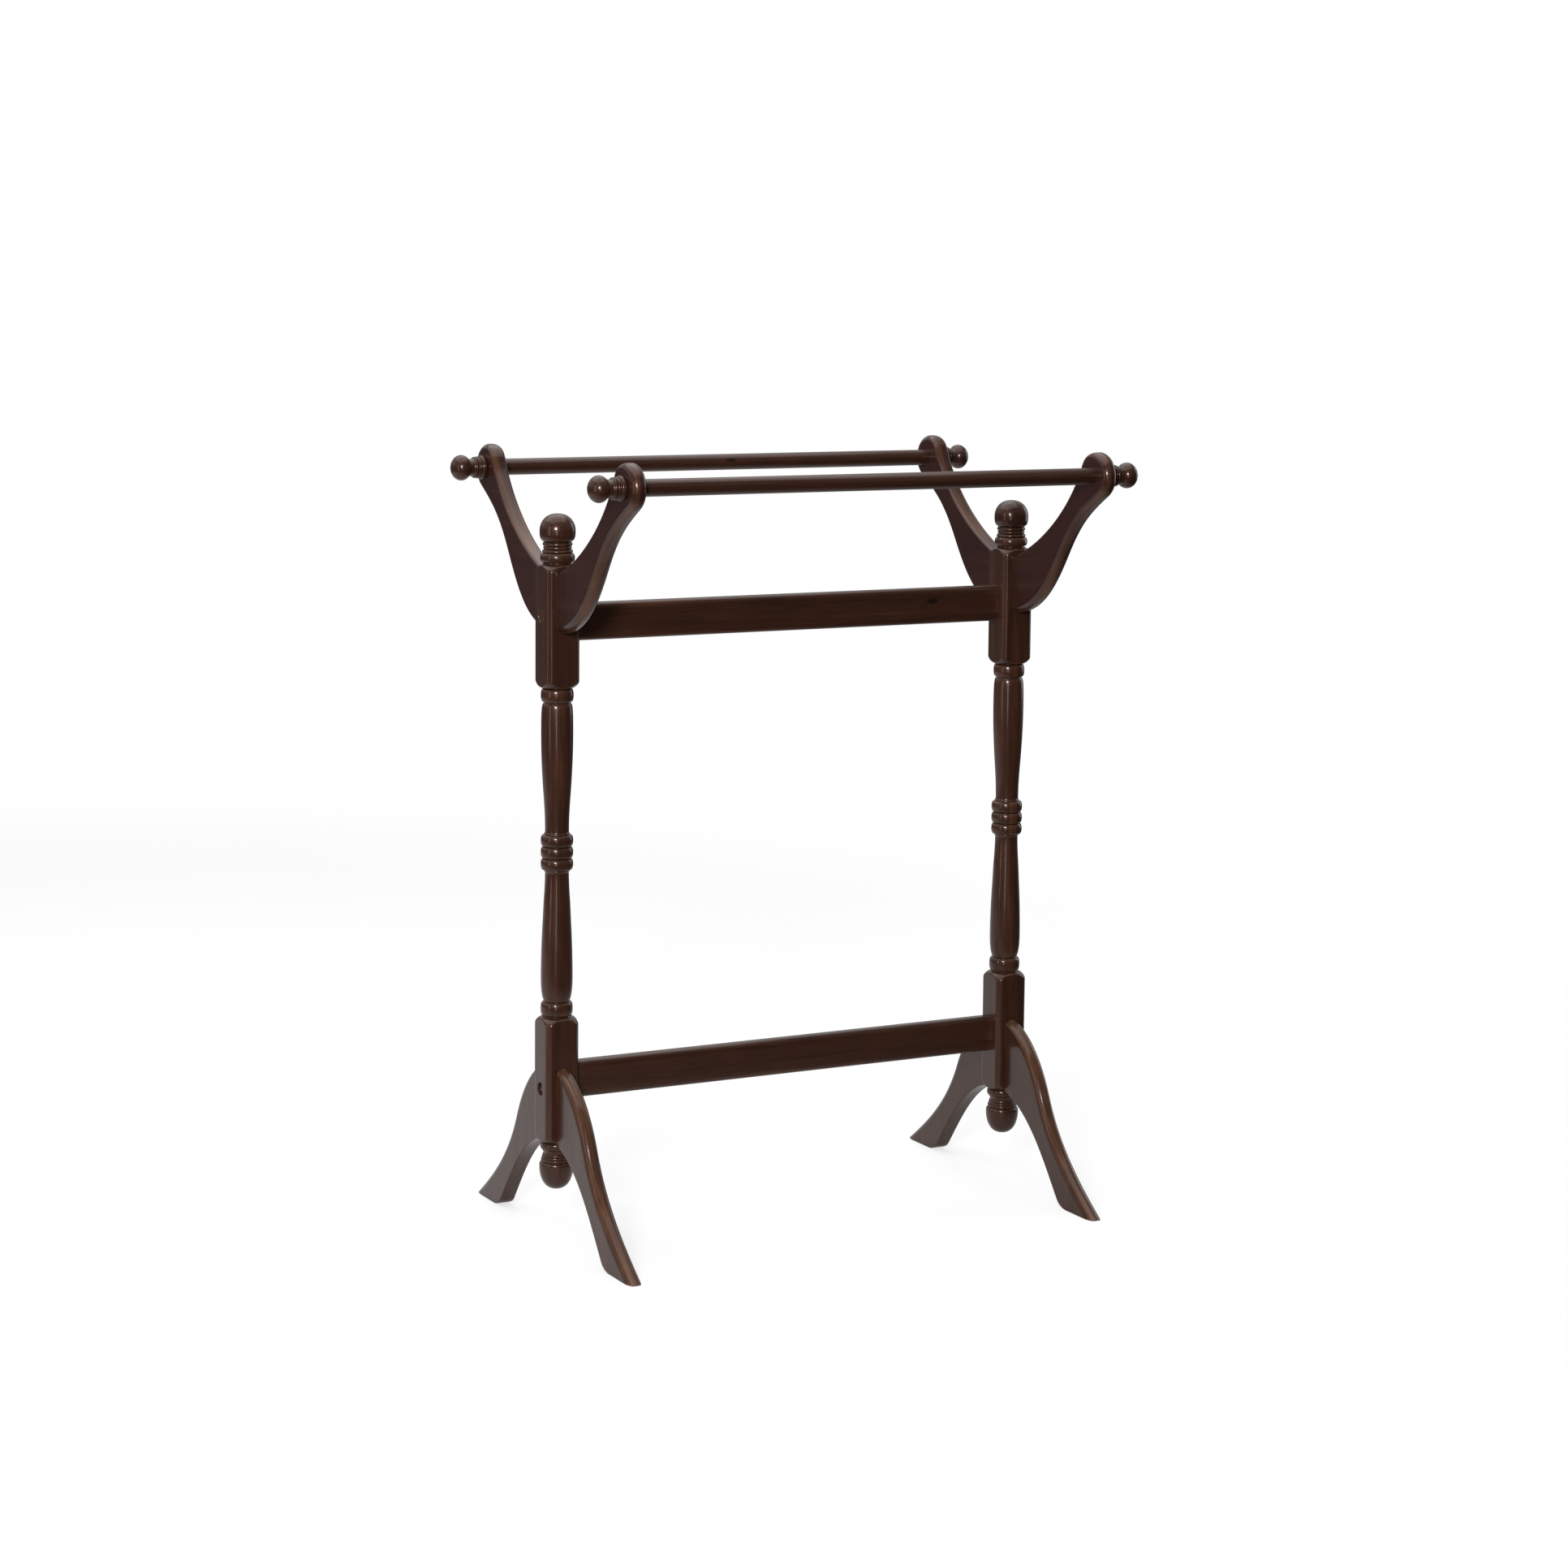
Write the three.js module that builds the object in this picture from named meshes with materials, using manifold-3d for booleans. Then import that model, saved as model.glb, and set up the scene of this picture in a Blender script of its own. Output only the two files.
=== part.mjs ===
// A free-standing quilt rack in stained wood.
// Two turned posts each carry two curved wings at the top and two sabre legs at the bottom.
// Two flat rails tie the posts together, and two round bars hang between the wings.
// Units are millimetres, +Z is up, X runs along the bars, and the floor is Z = 0.
import * as THREE from 'three';
import { mergeVertices } from 'three/addons/utils/BufferGeometryUtils.js';
import Module from 'manifold-3d';

const wasm = await Module();
wasm.setup();

// ---------------------------------------------------------------- driving sizes

const fit = 0.3; // gap that every pair of touching pieces keeps
const overcut = 2; // how far a cutting tool runs past the face it cuts

const postSpacing = 586; // between the two post centres
const barSpacing = 379; // between the two hanging bar centres
const legReach = 214; // post centre to the tip of a toe

const postSide = 40; // square stock of the posts
const postChamfer = 4.5; // cut off each long corner of the square blocks
const turnedSegments = 16; // facets round each turned piece

const dropBottom = 56; // underside of the turned drop below each post
const lowerBlockBottom = 110.5;
const lowerBlockHeight = 143.5;
const turnedHeight = 370.5; // turned stretch between the two square blocks
const upperBlockHeight = 139;
const finialHeight = 55.5;
const blockEndCut = 3.7; // both ends of a square block are turned down this far below its flats
const blockShoulder = 13.5; // height of the domed shoulder there
const blockShoulderReach = 10.2; // how far that shoulder sweeps out

const wingThickness = 18;
const wingHeadRadius = 27;
const wingSeatBottom = 62; // above the bottom of the upper block
const wingSeatHeight = 68;
const wingEdgeFlat = 1.6; // flat left between the rounds on both edges of a wing
const barRise = 172.5; // bar centres above the bottom of the wing's seat

const legThickness = 18;
const legSeatHeight = 87; // the leg covers this much of the lower block, from its bottom
const legEdgeFlat = 1.6; // the same on the outer edge of a leg, whose inner edge stays square
const soleLength = 54; // flat part of the sole, back from the tip of the toe
const heelLength = 18; // the sole goes on curving up for this length
const heelRise = 6; // and has risen by this much at the heel

const railHeight = 42;
const railThickness = 17;
const railEdgeRound = 5;
const lowerRailRise = 48.5; // underside of the lower rail above the bottom of the lower block
const upperRailRise = 52.5; // the same for the upper rail and block

const barDiameter = 19;
const barLetIn = 4; // how deep each bar end sits in its wing

const knobRadius = 14.7; // widest part of the ball
const knobHalfLength = 11.8; // the ball is flattened along its axis
const knobBallCentre = 28; // from the wing's outer face
const knobCollarRadius = 13.8;
const knobNeckRadius = 11;

const dowelDiameter = 8;
const dowelInPost = 13; // depth of each dowel bore in a post
const dowelInWing = 17;
const dowelInLeg = 17;
const dowelInRail = 21;
const wingDowelParts = [0.53, 0.82]; // how far up the wing's seat each dowel sits
const legDowelParts = [0.17, 0.45]; // how far up the leg's seat
const smallSegments = 10; // facets round dowels and screws

const railScrewDiameter = 6;
const railScrewHeadDiameter = 11;
const railScrewHeadHeight = 4.5;
const railScrewInRail = 40;
const railScrewOffset = 8; // the screw sits this far from the rail's middle
const railDowelOffset = 9; // the dowel sits this far on the other side
const counterboreDiameter = 15;
const counterboreDepth = 12;
const upperPlugSunk = 0.8; // plug faces below the post's outer face
const lowerPlugSunk = 3.5;

const knobScrewDiameter = 6;
const knobScrewInKnob = 16;
const knobScrewInBar = 20;

// ---------------------------------------------------------------- sizes worked out from them

const postHalf = postSide / 2;
const upperBlockBottom = lowerBlockBottom + lowerBlockHeight + turnedHeight;
const upperBlockTop = upperBlockBottom + upperBlockHeight;
const wingSeat = upperBlockBottom + wingSeatBottom;
const barHeight = wingSeat + barRise;
const lowerRailBottom = lowerBlockBottom + lowerRailRise;
const upperRailBottom = upperBlockBottom + upperRailRise;
const seatY = postHalf + fit; // where a wing or leg meets the post's face
const wingEdgeRound = (wingThickness - wingEdgeFlat) / 2;
const legEdgeRound = (legThickness - legEdgeFlat) / 2;
const soleFlatStart = legReach - soleLength;
const heelReach = soleFlatStart - heelLength;
const headY = barSpacing / 2;
const dowelRadius = dowelDiameter / 2;
const wingInnerX = wingThickness / 2;
const railLength = postSpacing - postSide - 2 * fit;
const wingGap = postSpacing - wingThickness; // between the inner faces of opposite wings
const barLength = wingGap + 2 * (barLetIn - fit);

// ---------------------------------------------------------------- materials

function stainedWood(name, color, roughness) {
  const material = new THREE.MeshStandardMaterial({ color, roughness, metalness: 0 });
  material.name = name;
  return material;
}

const postWood = stainedWood('post_wood', 0x3a1f17, 0.3);
const wingWood = stainedWood('wing_wood', 0x3d231b, 0.32);
const legWood = stainedWood('leg_wood', 0x42271c, 0.32);
const railWood = stainedWood('rail_wood', 0x35190f, 0.3);
const barWood = stainedWood('bar_wood', 0x42241a, 0.3);
const knobWood = stainedWood('knob_wood', 0x38201a, 0.26);
const plugWood = stainedWood('plug_wood', 0x3e2318, 0.4);
const dowelWood = stainedWood('dowel_wood', 0xc8a273, 0.75);
const zincSteel = new THREE.MeshStandardMaterial({ color: 0x9c9a94, roughness: 0.38, metalness: 1 });
zincSteel.name = 'zinc_steel';

// ---------------------------------------------------------------- solids and booleans

// Turns a closed three.js geometry into a solid that can be cut and joined.
function solid(geometry) {
  const bare = geometry.clone();
  bare.deleteAttribute('normal');
  bare.deleteAttribute('uv');
  const merged = mergeVertices(bare, 1e-4);
  return new wasm.Manifold(new wasm.Mesh({
    numProp: 3,
    vertProperties: new Float32Array(merged.attributes.position.array),
    triVerts: new Uint32Array(merged.index.array),
  }));
}

// Turns a solid back into a three.js geometry.
function surface(shape) {
  const mesh = shape.getMesh();
  const geometry = new THREE.BufferGeometry();
  geometry.setAttribute('position', new THREE.BufferAttribute(new Float32Array(mesh.vertProperties), 3));
  geometry.setIndex(new THREE.BufferAttribute(new Uint32Array(mesh.triVerts), 1));
  geometry.computeVertexNormals();
  return geometry;
}

// A round rod from one point to another, used both as a piece and as a drill.
function rod(radius, from, to, segments = smallSegments) {
  const start = new THREE.Vector3(...from);
  const end = new THREE.Vector3(...to);
  const along = end.clone().sub(start);
  const geometry = new THREE.CylinderGeometry(radius, radius, along.length(), segments);
  const turn = new THREE.Quaternion().setFromUnitVectors(
    new THREE.Vector3(0, 1, 0), along.clone().normalize());
  geometry.applyQuaternion(turn);
  geometry.translate(...start.add(end).multiplyScalar(0.5).toArray());
  return geometry;
}

// Drills a list of rods out of a solid.
function drilled(shape, drills) {
  return drills.reduce((left, drill) => left.subtract(solid(drill)), shape);
}

// Spins a profile of (radius, height) points round the Z axis.
function turned(points, segments = turnedSegments) {
  return new THREE.LatheGeometry(points, segments).rotateX(Math.PI / 2);
}

// Points of an elliptical arc in a turned profile, from one angle to another in degrees.
function arc(radiusCentre, heightCentre, radial, axial, fromAngle, toAngle, steps) {
  return Array.from({ length: steps + 1 }, (_, i) => {
    const angle = THREE.MathUtils.degToRad(fromAngle + (toAngle - fromAngle) * i / steps);
    return new THREE.Vector2(
      radiusCentre + radial * Math.cos(angle), heightCentre + axial * Math.sin(angle));
  });
}

// A half-round bead that stands out from a base radius.
function bead(height, baseRadius, peakRadius, halfHeight) {
  return arc(baseRadius, height, peakRadius - baseRadius, halfHeight, -90, 90, 3);
}

// A smooth stretch of a turned profile through a few chosen points.
function sweep(points, steps) {
  return new THREE.SplineCurve(points.map(([r, z]) => new THREE.Vector2(r, z))).getPoints(steps);
}

// Adds a curve to an outline that leaves and arrives at the two given headings in degrees.
function curveTo(shape, end, leaving, arriving, leavingPull = 0.35, arrivingPull = 0.35) {
  const start = shape.currentPoint.clone();
  const chord = start.distanceTo(end);
  const heading = (degrees) => new THREE.Vector2(
    Math.cos(THREE.MathUtils.degToRad(degrees)), Math.sin(THREE.MathUtils.degToRad(degrees)));
  const first = start.clone().addScaledVector(heading(leaving), chord * leavingPull);
  const second = end.clone().addScaledVector(heading(arriving), -chord * arrivingPull);
  shape.bezierCurveTo(first.x, first.y, second.x, second.y, end.x, end.y);
}

// Cuts an outline in the (Y, Z) plane from a board of the given thickness, centred on X = 0.
function board(shape, thickness, edgeRound, steps) {
  const bevelled = edgeRound > 0;
  const geometry = new THREE.ExtrudeGeometry(shape, {
    depth: thickness - 2 * edgeRound,
    curveSegments: steps,
    bevelEnabled: bevelled,
    bevelThickness: edgeRound,
    bevelSize: edgeRound,
    bevelOffset: -edgeRound,
    bevelSegments: 2,
  });
  geometry.translate(0, 0, -(thickness - 2 * edgeRound) / 2);
  geometry.rotateX(Math.PI / 2);
  geometry.rotateZ(Math.PI / 2);
  return solid(geometry);
}

// A box that removes everything on the post's side of the seat.
function postSideCut(height) {
  const reach = 2 * postSide;
  const geometry = new THREE.BoxGeometry(reach, reach, 4 * height);
  geometry.translate(0, seatY - reach / 2, 0);
  return solid(geometry);
}

// ---------------------------------------------------------------- posts

// A square block whose ends are turned down to a curved shoulder.
function squareBlock(bottom, height) {
  const flat = postHalf - postChamfer;
  const section = new THREE.Shape();
  section.moveTo(postHalf, -flat);
  section.lineTo(postHalf, flat);
  section.lineTo(flat, postHalf);
  section.lineTo(-flat, postHalf);
  section.lineTo(-postHalf, flat);
  section.lineTo(-postHalf, -flat);
  section.lineTo(-flat, -postHalf);
  section.lineTo(flat, -postHalf);
  section.closePath();
  const stock = new THREE.ExtrudeGeometry(section, { depth: height, bevelEnabled: false });
  stock.translate(0, 0, bottom);
  const top = bottom + height;
  const dome = 1.35; // the shoulder rises with this power of its reach
  const shoulder = (from, way) => [0, 0.3, 0.65, 1].map((part) => new THREE.Vector2(
    postHalf - blockEndCut + part * blockShoulderReach, from + way * blockShoulder * part ** dome));
  const envelope = turned([
    new THREE.Vector2(0, bottom),
    ...shoulder(bottom, 1),
    ...shoulder(top, -1).reverse(),
    new THREE.Vector2(0, top),
  ], 2 * turnedSegments);
  return solid(stock).intersect(solid(envelope));
}

// Everything on the post that comes off the lathe, from the drop to the finial.
function turnedProfile() {
  const cut = (depth) => postHalf - depth; // radius left by cutting this deep into the square stock
  const core = cut(5); // hidden inside the square blocks
  const turnedBottom = lowerBlockBottom + lowerBlockHeight;
  const middle = turnedBottom + 0.502 * turnedHeight; // the three beads sit half way up
  const beadPitch = 13.3;
  const onDrop = (part) => dropBottom + part * (lowerBlockBottom - dropBottom);
  const onFinial = (part) => upperBlockTop + part * finialHeight;
  const lowerVaseBottom = turnedBottom + 17;
  const lowerVaseTop = middle - 1.5 * beadPitch - 1;
  const upperVaseBottom = middle + 1.5 * beadPitch + 1;
  const upperVaseTop = upperBlockBottom - 15.5;
  const onLowerVase = (depth, part) => [
    cut(depth), lowerVaseBottom + part * (lowerVaseTop - lowerVaseBottom)];
  const onUpperVase = (depth, part) => [
    cut(depth), upperVaseBottom + part * (upperVaseTop - upperVaseBottom)];
  const ring = (depth, height) => [
    new THREE.Vector2(cut(depth + 1), height - 1.4), new THREE.Vector2(cut(depth), height)];
  const tripleBead = (height) => bead(height, cut(5), cut(1.9), beadPitch / 2 - 0.4);
  const bulbHeight = onDrop(0.477);
  const ballMiddle = onFinial(0.667);
  const profile = [
    ...arc(0, bulbHeight, cut(0.8), bulbHeight - dropBottom, -90, 0, 5),
    new THREE.Vector2(cut(1.6), onDrop(0.52)),
    ...ring(2.4, onDrop(0.565)),
    ...ring(3.4, onDrop(0.616)),
    ...ring(4.2, onDrop(0.668)),
    ...sweep([[cut(5.6), onDrop(0.75)], [cut(5.3), onDrop(0.78)], [cut(3.1), onDrop(0.85)]], 3),
    ...bead(onDrop(0.921), cut(3.6), cut(1.6), 3.6),
    new THREE.Vector2(core, lowerBlockBottom + 1),
    new THREE.Vector2(core, turnedBottom - 1),
    ...bead(turnedBottom + 10, cut(4.6), cut(2.1), 6),
    ...sweep([onLowerVase(5, 0.02), onLowerVase(3.4, 0.07), onLowerVase(2.3, 0.17),
      onLowerVase(2.4, 0.36), onLowerVase(3.7, 0.57), onLowerVase(5.4, 0.77),
      onLowerVase(6.7, 0.9), onLowerVase(6.7, 1)], 8),
    ...tripleBead(middle - beadPitch),
    ...tripleBead(middle),
    ...tripleBead(middle + beadPitch),
    ...sweep([onUpperVase(6.7, 0), onUpperVase(6.3, 0.135), onUpperVase(5.3, 0.25),
      onUpperVase(4, 0.36), onUpperVase(3, 0.51), onUpperVase(2.2, 0.62),
      onUpperVase(2.2, 0.87), onUpperVase(3.1, 0.99)], 8),
    ...bead(upperBlockBottom - 8, cut(4.2), cut(2.1), 6.4),
    new THREE.Vector2(core, upperBlockBottom + 1),
    new THREE.Vector2(core, upperBlockTop - 1),
    ...bead(onFinial(0.126), cut(3.6), cut(1.3), 4.2),
    ...ring(1.8, onFinial(0.245)),
    ...ring(2.8, onFinial(0.295)),
    ...ring(3.6, onFinial(0.346)),
    new THREE.Vector2(cut(4.6), onFinial(0.37)),
    new THREE.Vector2(cut(3), onFinial(0.407)),
    new THREE.Vector2(cut(4.4), onFinial(0.447)),
    ...arc(0, ballMiddle, cut(0), 0.432 * finialHeight, -27.5, 0, 2),
    ...arc(0, ballMiddle, cut(0), 0.333 * finialHeight, 15, 90, 5),
  ];
  profile[0].x = 0;
  profile[profile.length - 1].x = 0;
  return profile;
}

// Heights of the rail screws and rail dowels: the lower rail is the upper one turned over.
const railJoints = [
  { rail: 'lower', bottom: lowerRailBottom, way: -1, sunk: lowerPlugSunk },
  { rail: 'upper', bottom: upperRailBottom, way: 1, sunk: upperPlugSunk },
].map(({ rail, bottom, way, sunk }) => ({
  rail,
  sunk,
  screwHeight: bottom + railHeight / 2 + way * railScrewOffset,
  dowelHeight: bottom + railHeight / 2 - way * railDowelOffset,
}));

const wingDowels = wingDowelParts.map((part) => wingSeat + part * wingSeatHeight);
const legDowels = legDowelParts.map((part) => lowerBlockBottom + part * legSeatHeight);

// The post stands on its own axis, with the rails on its +X side.
function postGeometry() {
  const blocks = squareBlock(lowerBlockBottom, lowerBlockHeight)
    .add(squareBlock(upperBlockBottom, upperBlockHeight));
  const dowelDrills = [...wingDowels, ...legDowels].flatMap((z) => [-1, 1].map((side) => rod(
    dowelRadius + fit, [0, side * (postHalf - dowelInPost), z], [0, side * (postHalf + overcut), z])));
  const railDrills = railJoints.flatMap(({ screwHeight, dowelHeight }) => [
    rod(railScrewDiameter / 2 + fit,
      [-postHalf - overcut, 0, screwHeight], [postHalf + overcut, 0, screwHeight]),
    rod(counterboreDiameter / 2, [-postHalf - overcut, 0, screwHeight],
      [-postHalf + counterboreDepth, 0, screwHeight], turnedSegments),
    rod(dowelRadius + fit, [postHalf - dowelInPost, 0, dowelHeight],
      [postHalf + overcut, 0, dowelHeight]),
  ]);
  return surface(drilled(blocks.add(solid(turned(turnedProfile()))), [...dowelDrills, ...railDrills]));
}

// ---------------------------------------------------------------- wings

// The wing's outline: a broad seat on the post, a curved neck and a round head on the bar's centre.
function wingOutline() {
  const seatTop = wingSeat + wingSeatHeight;
  const head = new THREE.Vector2(headY, barHeight);
  const onHead = (degrees) => {
    const angle = THREE.MathUtils.degToRad(degrees);
    return new THREE.Vector2(Math.cos(angle), Math.sin(angle)).multiplyScalar(wingHeadRadius).add(head);
  };
  const upperLeave = 155; // where the upper edge runs into the head
  const lowerLeave = -60; // where the lower edge leaves it
  const leavingPost = 8; // the lower edge starts out almost level and swings up
  const steepest = 56; // its slope where the belly turns into the neck, in degrees
  const seatRun = headY - postHalf;
  const turning = new THREE.Vector2(
    postHalf + 0.58 * seatRun, wingSeat + 0.427 * barRise);
  const shape = new THREE.Shape();
  shape.moveTo(postHalf - 2 * wingEdgeRound, wingSeat - wingEdgeRound);
  shape.lineTo(postHalf, wingSeat);
  curveTo(shape, turning, leavingPost, steepest, 0.38, 0.42);
  curveTo(shape, onHead(lowerLeave), steepest, 90 + lowerLeave, 0.4, 0.4);
  const rim = 8;
  for (let i = 1; i < rim; i += 1) {
    shape.lineTo(...onHead(lowerLeave + (upperLeave - lowerLeave) * i / rim).toArray());
  }
  shape.lineTo(...onHead(upperLeave).toArray());
  curveTo(shape, new THREE.Vector2(postHalf, seatTop), upperLeave + 90, 198, 0.3, 0.35);
  shape.lineTo(postHalf - 2 * wingEdgeRound, seatTop);
  shape.closePath();
  return shape;
}

// One wing on the post's back face; barSide says which X face the bar is let into.
function wingGeometry(barSide) {
  const blank = board(wingOutline(), wingThickness, wingEdgeRound, 8)
    .subtract(postSideCut(barHeight));
  const barPocket = rod(barDiameter / 2 + fit, [barSide * (wingInnerX + overcut), headY, barHeight],
    [barSide * (wingInnerX - barLetIn), headY, barHeight], turnedSegments);
  const screwHole = rod(knobScrewDiameter / 2 + fit, [-wingInnerX - overcut, headY, barHeight],
    [wingInnerX + overcut, headY, barHeight]);
  const dowelHoles = wingDowels.map((z) => rod(
    dowelRadius + fit, [0, seatY - overcut, z], [0, seatY + dowelInWing, z]));
  return surface(drilled(blank, [barPocket, screwHole, ...dowelHoles]));
}

// ---------------------------------------------------------------- legs

// The sabre leg's outer edge, carried on inside the post and below the floor so it can be trimmed.
function legOuterOutline() {
  const seatTop = lowerBlockBottom + legSeatHeight;
  const run = legReach - postHalf;
  const turning = new THREE.Vector2(postHalf + 0.405 * run, 0.609 * seatTop);
  const shape = new THREE.Shape();
  shape.moveTo(postHalf - 2 * legEdgeRound, -4 * legEdgeRound);
  shape.lineTo(legReach + 2 * legEdgeRound, -4 * legEdgeRound);
  shape.lineTo(legReach + 2 * legEdgeRound, -1.4 * legEdgeRound);
  shape.lineTo(legReach, 0);
  curveTo(shape, turning, 145, 115);
  curveTo(shape, new THREE.Vector2(postHalf, seatTop), 115, 162);
  shape.lineTo(postHalf - 2 * legEdgeRound, seatTop + legEdgeRound);
  shape.closePath();
  return shape;
}

// What is sawn away under the leg: the space inside the inner curve, the heel and the floor.
function legInnerOutline() {
  const shape = new THREE.Shape();
  shape.moveTo(postHalf - 3 * legEdgeRound, -6 * legEdgeRound);
  shape.lineTo(postHalf - 3 * legEdgeRound, lowerBlockBottom);
  shape.lineTo(postHalf, lowerBlockBottom);
  curveTo(shape, new THREE.Vector2(heelReach, heelRise), -13, -52);
  curveTo(shape, new THREE.Vector2(soleFlatStart, 0), -35, 0);
  shape.lineTo(legReach + 4 * legEdgeRound, 0);
  shape.lineTo(legReach + 4 * legEdgeRound, -6 * legEdgeRound);
  shape.closePath();
  return shape;
}

function legGeometry() {
  const waste = board(legInnerOutline(), legThickness + 2 * overcut, 0, 8);
  const blank = board(legOuterOutline(), legThickness, legEdgeRound, 8)
    .subtract(waste)
    .subtract(postSideCut(lowerBlockBottom + legSeatHeight));
  const dowelHoles = legDowels.map((z) => rod(
    dowelRadius + fit, [0, seatY - overcut, z], [0, seatY + dowelInLeg, z]));
  return surface(drilled(blank, dowelHoles));
}

// ---------------------------------------------------------------- rails and bars

// A flat rail with eased long edges, drilled in both ends for a screw and a dowel.
function railGeometry(bottom, joint) {
  const high = railHeight / 2 - railEdgeRound;
  const wide = railThickness / 2 - railEdgeRound;
  const section = new THREE.Shape();
  section.absarc(wide, high, railEdgeRound, 0, Math.PI / 2);
  section.absarc(-wide, high, railEdgeRound, Math.PI / 2, Math.PI);
  section.absarc(-wide, -high, railEdgeRound, Math.PI, 1.5 * Math.PI);
  section.absarc(wide, -high, railEdgeRound, 1.5 * Math.PI, 2 * Math.PI);
  section.closePath();
  const stick = new THREE.ExtrudeGeometry(section,
    { depth: railLength, bevelEnabled: false, curveSegments: 4 });
  stick.translate(0, 0, -railLength / 2);
  stick.rotateX(Math.PI / 2);
  stick.rotateZ(Math.PI / 2);
  const middle = bottom + railHeight / 2;
  const drills = [-1, 1].flatMap((side) => {
    const end = side * (railLength / 2 + overcut);
    return [
      rod(railScrewDiameter / 2 + fit, [end, 0, joint.screwHeight - middle],
        [side * (railLength / 2 - railScrewInRail), 0, joint.screwHeight - middle]),
      rod(dowelRadius + fit, [end, 0, joint.dowelHeight - middle],
        [side * (railLength / 2 - dowelInRail), 0, joint.dowelHeight - middle]),
    ];
  });
  return surface(drilled(solid(stick), drills));
}

// A round hanging bar, drilled in both ends for the knob screws.
function barGeometry() {
  const stick = rod(barDiameter / 2, [-barLength / 2, 0, 0], [barLength / 2, 0, 0], 2 * smallSegments);
  const drills = [-1, 1].map((side) => rod(knobScrewDiameter / 2 + fit,
    [side * (barLength / 2 + overcut), 0, 0], [side * (barLength / 2 - knobScrewInBar), 0, 0]));
  return surface(drilled(solid(stick), drills));
}

// ---------------------------------------------------------------- knobs, screws, dowels and plugs

// The knob is turned along Z with its collar at Z = 0, then laid over to point along -X.
function knobGeometry() {
  const neckEnd = knobBallCentre - knobHalfLength;
  const profile = [
    new THREE.Vector2(0, fit),
    new THREE.Vector2(knobCollarRadius - 1.2, fit),
    ...arc(knobCollarRadius - 2, fit + 3.4, 2, 2.8, -60, 70, 3),
    new THREE.Vector2(knobNeckRadius + 0.8, neckEnd - 8.6),
    new THREE.Vector2(knobNeckRadius + 1.8, neckEnd - 7.2),
    new THREE.Vector2(knobNeckRadius + 0.4, neckEnd - 5.6),
    new THREE.Vector2(knobNeckRadius + 1.2, neckEnd - 4),
    new THREE.Vector2(knobNeckRadius - 0.6, neckEnd - 1.6),
    ...arc(0, knobBallCentre, knobRadius, knobHalfLength, -46, 90, 6),
  ];
  profile[profile.length - 1].x = 0;
  const body = solid(turned(profile).rotateY(-Math.PI / 2));
  return surface(drilled(body,
    [rod(knobScrewDiameter / 2 + fit, [overcut, 0, 0], [-fit - knobScrewInKnob, 0, 0])]));
}

// A plain steel stud that joins the knob, the wing and the bar.
function knobScrewGeometry() {
  const knobEnd = -wingThickness / 2 - knobScrewInKnob + fit;
  const barEnd = wingThickness / 2 - barLetIn + knobScrewInBar - fit;
  return rod(knobScrewDiameter / 2, [knobEnd, 0, 0], [barEnd, 0, 0]);
}

// A long wood screw, turned along Z from its tip and laid over so that its head faces -X.
function railScrewGeometry() {
  const headX = -postHalf + counterboreDepth - fit;
  const tipX = postHalf + railScrewInRail - 1;
  const shank = railScrewDiameter / 2;
  const length = tipX - headX;
  const profile = [
    new THREE.Vector2(0, -length),
    new THREE.Vector2(shank, -length + 2 * shank),
    new THREE.Vector2(shank, 0),
    new THREE.Vector2(railScrewHeadDiameter / 2, 0),
    new THREE.Vector2(railScrewHeadDiameter / 2, railScrewHeadHeight),
    new THREE.Vector2(0, railScrewHeadHeight),
  ];
  return turned(profile, smallSegments).rotateY(-Math.PI / 2).translate(headX, 0, 0);
}

// A wooden plug that hides the screw head in its counterbore.
function plugGeometry(sunk) {
  const outerX = -postHalf + sunk;
  const innerX = -postHalf + counterboreDepth - railScrewHeadHeight - 2 * fit;
  return rod(counterboreDiameter / 2 - fit, [outerX, 0, 0], [innerX, 0, 0], turnedSegments);
}

function dowelGeometry(innerDepth, outerDepth) {
  return rod(dowelRadius, [0, fit - innerDepth, 0], [0, outerDepth, 0]);
}

// ---------------------------------------------------------------- putting it together

function piece(name, geometry, material, place = [0, 0, 0], turnZ = 0) {
  const mesh = new THREE.Mesh(geometry, material);
  mesh.name = name;
  mesh.position.set(...place);
  mesh.rotation.z = turnZ;
  return mesh;
}

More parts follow.
